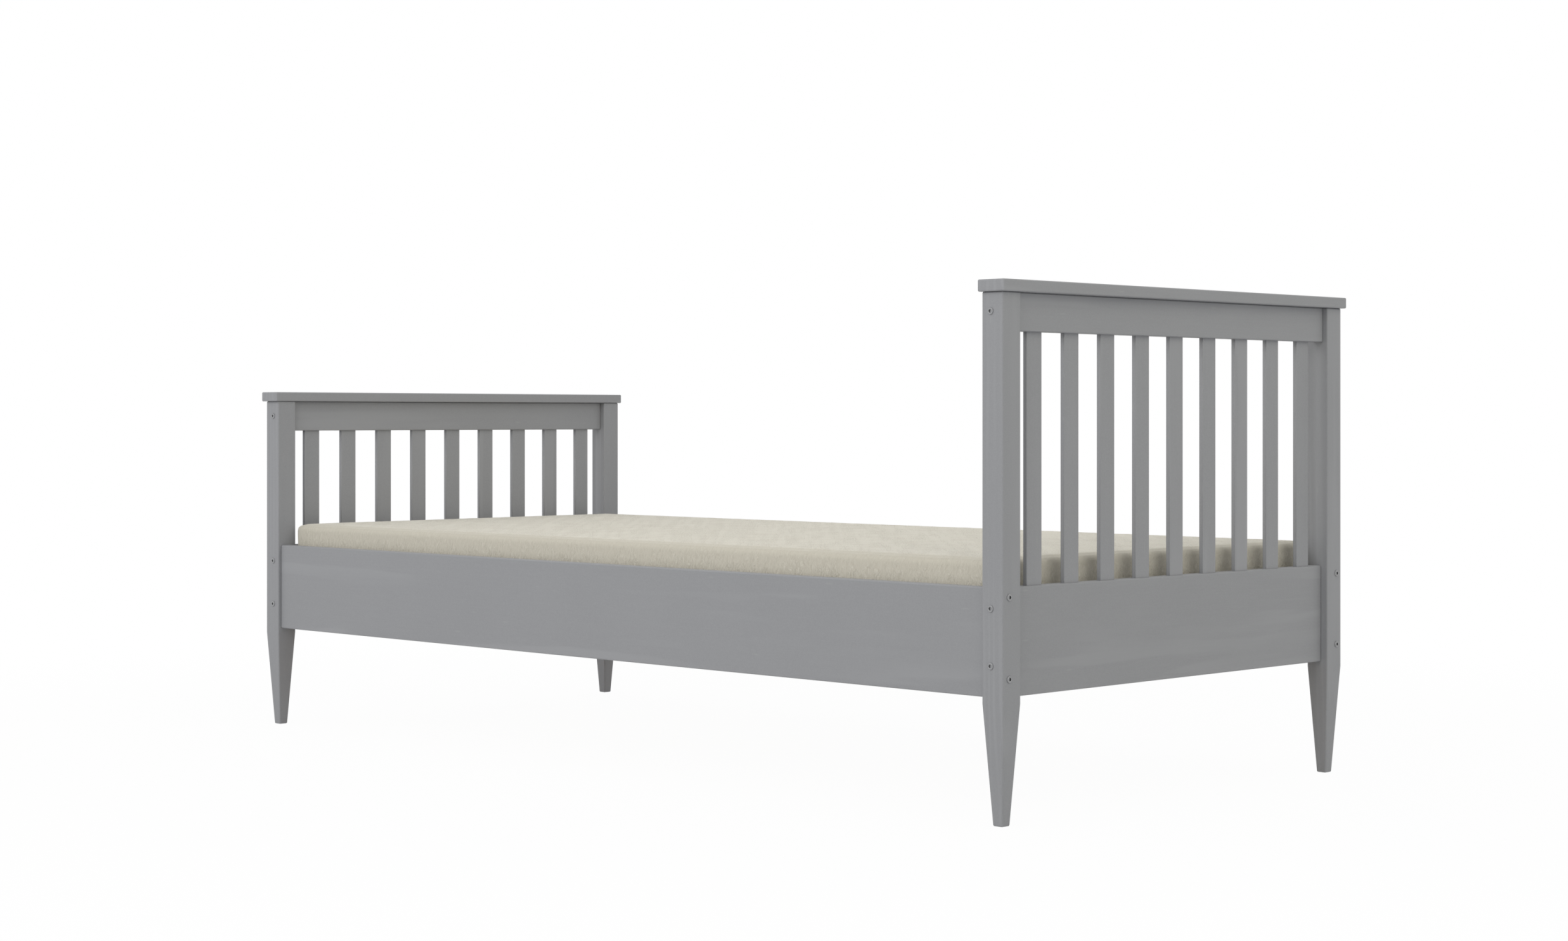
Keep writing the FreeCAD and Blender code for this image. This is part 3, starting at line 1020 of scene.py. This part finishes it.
@dataclass
class Bolts:
    """The bolts through the posts, with low rounded heads and hexagon sockets."""

    head_diameter: float = 11.5 * MM
    head_thickness: float = 2 * MM
    head_bevel: float = 1.2 * MM
    bevel_segments: int = 3
    rim_points: int = 36
    socket_width: float = 5 * MM
    socket_depth: float = 3 * MM
    socket_step: float = math.radians(60)
    shank_diameter: float = 6 * MM
    shank_length: float = 85 * MM
    end_depth_share: float = 0.73
    end_height_shares: Span = (0.29, 0.81)
    side_depth_share: float = 0.39
    side_height_shares: Span = (0.175, 0.915)

    def build(self, finish: BoltSteel) -> list[Piece]:
        """Build both sets of bolts.

        Args:
            finish: The bolts' finish.

        Returns:
            The new pieces.
        """
        # The second material is the painted shade inside the sockets.
        plated, dark = finish.material(), finish.socket_shade_material()
        pattern = self.pattern()
        pieces = []
        for node, seats in (("end_rail_bolts", self.end_seats()),
                            ("side_rail_bolts", self.side_seats())):
            piece = new_piece(f"{node}_bevelled", self.bolt_set(pattern, seats), plated)
            piece.data.materials.append(dark)
            smooth_rounds(piece)
            place_piece(piece, FRAME_BODY, node)
            pieces.append(piece)
        bpy.data.meshes.remove(pattern)
        return pieces

    def bolt_set(self, pattern: bpy.types.Mesh, seats: list[Seat]) -> Form:
        """Put a bolt on each seat.

        Args:
            pattern: One bolt with its seat at the origin and its head facing up.
            seats: The place of each bolt's seat and the way that its head faces.

        Returns:
            All the bolts in one form.
        """
        form = bmesh.new()
        for place, outward in seats:
            bolt = pattern.copy()
            turn = outward.to_track_quat("Z", "Y").to_matrix().to_4x4()
            bolt.transform(Matrix.Translation(place) @ turn)
            form.from_mesh(bolt)
            bpy.data.meshes.remove(bolt)
        return form

    def end_seats(self) -> list[Seat]:
        """Find the seats of the bolts on the posts' side faces.

        Returns:
            The place of each seat and the way that the head faces.
        """
        seats = []
        for end in End:
            top_low, top_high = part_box(f"{end.label}_top_rail")
            low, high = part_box(f"{end.label}_bottom_rail")
            depth = self.end_depth_share * (top_high.y - top_low.y)
            y = outer_face(f"{end.label}_top_rail", end) - end.value * depth
            heights = [(top_low.z + top_high.z) / 2]
            heights += [low.z + share * (high.z - low.z) for share in self.end_height_shares]
            for side in Side:
                x = outer_face(f"{end.label}_post_{side.label}", side)
                outward = Vector((side.value, 0.0, 0.0))
                seats += [(Vector((x, y, height)), outward) for height in heights]
        return seats

    def side_seats(self) -> list[Seat]:
        """Find the seats of the bolts on the posts' end faces.

        Returns:
            The place of each seat and the way that the head faces.
        """
        seats = []
        for side in Side:
            low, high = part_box(f"side_rail_{side.label}")
            depth = self.side_depth_share * (high.x - low.x)
            x = outer_face(f"side_rail_{side.label}", side) - side.value * depth
            heights = [low.z + share * (high.z - low.z) for share in self.side_height_shares]
            for end in End:
                y = outer_face(f"{end.label}_post_{side.label}", end)
                outward = Vector((0.0, end.value, 0.0))
                seats += [(Vector((x, y, height)), outward) for height in heights]
        return seats

    def pattern(self) -> bpy.types.Mesh:
        """Make one bolt with its seat at the origin and its head facing up.

        Returns:
            The bolt's mesh.
        """
        form = bmesh.new()
        disc = bmesh.ops.create_circle(form, cap_ends=True, segments=self.rim_points,
                                       radius=self.head_diameter / 2)
        seat = disc["verts"][0].link_faces[0]
        top = draw_out(form, seat, self.head_thickness)
        self.add_shank(form, seat)
        self.add_socket(form, top)
        bmesh.ops.recalc_face_normals(form, faces=form.faces)
        mesh = bpy.data.meshes.new("bolt_pattern")
        form.to_mesh(mesh)
        form.free()
        return mesh

    def add_shank(self, form: Form, seat: Face) -> None:
        """Draw the plain shank out of the head's seat.

        Args:
            form: The bolt.
            seat: The head's underside.
        """
        rim = (self.head_diameter - self.shank_diameter) / 2
        bmesh.ops.inset_individual(form, faces=[seat], thickness=rim)
        draw_out(form, seat, -self.shank_length)
        bmesh.ops.delete(form, geom=[seat], context="FACES_ONLY")

    def add_socket(self, form: Form, top: Face) -> None:
        """Round the head's rim and sink a hexagon socket into its top.

        Args:
            form: The bolt.
            top: The head's top face.
        """
        round_edges(form, top.edges[:], self.head_bevel, self.bevel_segments)
        discs = [face for face in form.faces if len(face.verts) == self.rim_points]
        top = max(discs, key=lambda face: face.calc_center_median().z)
        socket = self.socket_width / 2
        rim = top.verts[0].co.xy.length - socket
        bmesh.ops.inset_individual(form, faces=[top], thickness=rim)
        for vert in top.verts:
            angle = math.atan2(vert.co.y, vert.co.x) % self.socket_step - self.socket_step / 2
            vert.co.xy *= socket / (vert.co.xy.length * math.cos(angle))
        floor = draw_out(form, top, -self.socket_depth)
        bmesh.ops.delete(form, geom=[top], context="FACES_ONLY")
        # The socket's walls and floor take the painted shade material.
        for face in {floor}.union(*(vert.link_faces for vert in floor.verts)):
            face.material_index = 1


@dataclass
class Mattress:
    """The mattress: a foam block in a plush cover, swollen by a cloth simulation."""

    node: str = "mattress"
    top_margin: float = 3 * MM
    edge_radius: float = 12 * MM
    edge_segments: int = 4
    edge_angle: float = math.radians(45)
    cell: float = 16 * MM
    pressure: float = 4.0
    frames: int = 20
    cloth_quality: int = 3
    most_swell: float = 3 * MM
    tuft_height: float = 0.8 * MM
    tuft_scale: float = 38.0
    stir_scale: float = 0.5
    stir_reach: float = 1.5
    lying_slope: float = -0.5
    top_pile: float = 0.5
    side_pile: float = 0.2
    low_pile_depth: float = 45 * MM
    full_lean: float = math.sin(math.radians(30))
    fill: float = 0.9

    def build(self, finish: Plush) -> list[Piece]:
        """Build the mattress over its node's box.

        Args:
            finish: The cover's finish.

        Returns:
            The new piece.
        """
        low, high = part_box(self.node)
        form = block_form(low, high - Vector((0.0, 0.0, self.top_margin)))
        divide(form, self.cell)
        form.normal_update()
        edges = [edge for edge in form.edges if edge.calc_face_angle() > self.edge_angle]
        round_edges(form, edges, self.edge_radius, self.edge_segments)
        piece = new_piece("mattress_cover", form, finish.material())
        self.swell(piece, low.z)
        subdivide(piece)
        self.ruffle(piece)
        self.comb(piece, finish)
        place_piece(piece, MATTRESS_BODY, self.node)
        return [piece]

    def swell(self, piece: Piece, floor: float) -> None:
        """Let the cover swell outwards under pressure.

        Args:
            piece: The mattress.
            floor: The height that nothing goes below.
        """
        rest = [(vert.co.copy(), vert.normal.copy()) for vert in piece.data.vertices]
        cloth = piece.modifiers.new("swell", "CLOTH")
        cloth.settings.use_pressure = True
        cloth.settings.uniform_pressure_force = self.pressure
        cloth.settings.effector_weights.gravity = 0.0
        cloth.settings.quality = self.cloth_quality
        scene = bpy.context.scene
        for number in range(1, self.frames + 1):
            scene.frame_set(number)
        evaluated = piece.evaluated_get(bpy.context.evaluated_depsgraph_get())
        swollen = [vert.co.copy() for vert in evaluated.data.vertices]
        piece.modifiers.remove(cloth)
        scene.frame_set(1)
        for vert, (start, outward), moved in zip(piece.data.vertices, rest, swollen):
            rise = (moved - start).dot(outward)
            vert.co = start + outward * min(max(rise, 0.0), self.most_swell)
            vert.co.z = max(vert.co.z, floor)

    def ruffle(self, piece: Piece) -> None:
        """Press small tufts into the cover, but for the face that it lies on.

        Args:
            piece: The mattress.
        """
        mesh = piece.data
        normals = [vert.normal.copy() for vert in mesh.vertices]
        for vert, normal in zip(mesh.vertices, normals):
            if normal.z > self.lying_slope:
                place = vert.co * self.tuft_scale
                drift = place * self.stir_scale
                sway = Vector(noise.noise(spot) for spot in (drift, drift.yzx, drift.zxy))
                stirred = place + sway * self.stir_reach
                vert.co -= normal * self.tuft_height * ((1 - noise.noise(stirred)) / 2)
        smooth_faces(piece)

    def comb(self, piece: Piece, finish: Plush) -> None:
        """Note at each point how far the cover leans from level, and how deep its pile is.

        Args:
            piece: The mattress.
            finish: The cover's finish, which names the attributes that keep both, from 0 to 1.
        """
        mesh = piece.data
        leans, piles = (mesh.attributes.new(name, "FLOAT", "POINT")
                        for name in (finish.lean_attribute, finish.pile_attribute))
        top = max(vert.co.z for vert in mesh.vertices)
        for vert, lean, pile in zip(mesh.vertices, leans.data, piles.data):
            lean.value = min(math.hypot(vert.normal.x, vert.normal.y) / self.full_lean, 1.0)
            fall = min((top - vert.co.z) / self.low_pile_depth, 1.0)
            side_pile = self.side_pile + (1 - self.side_pile) * fall
            pile.value = (1 - lean.value) * self.top_pile + lean.value * side_pile


@dataclass(frozen=True)
class Lamp:
    """A soft studio lamp."""

    name: str
    place: Triple
    target: Triple
    size: Span
    power: float
    tint: Colour = WHITE

    def build(self) -> None:
        """Hang the lamp so that it faces its target."""
        light = bpy.data.lights.new(self.name, "AREA")
        light.shape = "RECTANGLE"
        light.size, light.size_y = self.size
        light.energy = self.power
        light.color = self.tint
        lamp = bpy.data.objects.new(self.name, light)
        lamp.location = self.place
        aim = Vector(self.target) - Vector(self.place)
        lamp.rotation_euler = aim.to_track_quat("-Z", "Y").to_euler()
        bpy.context.scene.collection.objects.link(lamp)


@dataclass
class Studio:
    """A white floor under soft light, seen by a level camera."""

    floor_size: float = 60.0
    floor_tone: Colour = (0.8, 0.8, 0.8)
    floor_roughness: float = 1.0
    shadow_share: float = 0.03
    shadow_reach: Span = (1.3, 3.0)
    sky_strength: float = 0.6
    white_strength: float = 1.0
    lamps: tuple[Lamp, ...] = (
        Lamp("side_lamp", (4.0, 0.0, 3.0), (0.0, 0.0, 0.4), (5.0, 2.0), 62.5),
        Lamp("end_lamp", (0.0, 2.6, 2.2), (0.0, 1.0, 0.5), (3.0, 1.5), 9.4, (1.0, 0.97, 0.78)),
        Lamp("top_lamp", (0.0, 0.0, 4.5), (0.0, 0.0, 0.4), (3.0, 3.0), 14.0),
    )
    camera_place: Triple = (3.770, 3.827, 0.667)
    camera_turn: Triple = (math.radians(90), 0.0, math.radians(135))
    lens: float = 60.64
    rise: float = -0.0337

    def build(self) -> None:
        """Set up the floor, the light and the camera."""
        self.add_floor()
        self.add_sky()
        for lamp in self.lamps:
            lamp.build()
        self.add_camera()
        bpy.context.scene.view_settings.view_transform = "Standard"

    def add_floor(self) -> None:
        """Lay a floor that the camera sees as white, with a faint shadow round the bed."""
        form = bmesh.new()
        bmesh.ops.create_grid(form, x_segments=1, y_segments=1, size=self.floor_size / 2)
        graph, shader, material = new_material("studio_floor")
        floor = new_piece("studio_floor", form, material)
        shader.inputs["Base Color"].default_value = (*self.floor_tone, 1.0)
        shader.inputs["Roughness"].default_value = self.floor_roughness
        lit = shader.outputs["BSDF"]
        glow = graph.add("ShaderNodeEmission", strength=self.white_strength).outputs["Emission"]
        distance = graph.add("ShaderNodeVectorMath", operation="LENGTH")
        graph.join(graph.object_place(), distance.inputs["Vector"])
        share = graph.fit(distance.outputs["Value"], self.shadow_reach, (self.shadow_share, 0.0))
        white = graph.mix_shaders(share, glow, lit)
        surface = graph.mix_shaders(graph.seen_directly(), lit, white)
        graph.join(surface, material.node_tree.nodes["Material Output"].inputs["Surface"])

    def add_sky(self) -> None:
        """Light the scene evenly from all round, and let the camera see white."""
        world = bpy.data.worlds.new("studio_sky")
        world.use_nodes = True
        bpy.context.scene.world = world
        graph = NodeGraph(world.node_tree)
        light = world.node_tree.nodes["Background"]
        white = graph.add("ShaderNodeBackground")
        for sky, strength in ((light, self.sky_strength), (white, self.white_strength)):
            sky.inputs["Color"].default_value = (*WHITE, 1.0)
            sky.inputs["Strength"].default_value = strength
        surface = graph.mix_shaders(graph.seen_directly(), light.outputs["Background"],
                                    white.outputs["Background"])
        graph.join(surface, world.node_tree.nodes["World Output"].inputs["Surface"])

    def add_camera(self) -> None:
        """Place the camera where the photograph was taken from."""
        lens = bpy.data.cameras.new("studio_camera")
        lens.lens = self.lens
        lens.shift_y = self.rise
        camera = bpy.data.objects.new("studio_camera", lens)
        camera.location = self.camera_place
        camera.rotation_euler = Euler(self.camera_turn)
        bpy.context.scene.collection.objects.link(camera)
        bpy.context.scene.camera = camera


def main() -> None:
    """Dress the whole bed, report its pieces and light it."""
    logging.basicConfig(level=logging.INFO, format="%(name)s: %(message)s")
    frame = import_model()
    grain = WoodGrain().group()
    painted = PaintedWood()
    painted_materials = {axis: painted.material(grain, axis) for axis in GrainAxis}
    bare = BareWood()
    bare_materials = {axis: bare.material(grain, axis) for axis in (GrainAxis.X, GrainAxis.Y)}
    for end in End:
        report(EndPanel(end).build(painted, painted_materials))
    report(SideRails().build(painted, painted_materials))
    report(SlatBase().dress(frame["nodes"], bare_materials))
    report(Bolts().build(BoltSteel()))
    report(Mattress().build(Plush()))
    Studio().build()


if __name__ == "__main__":
    main()
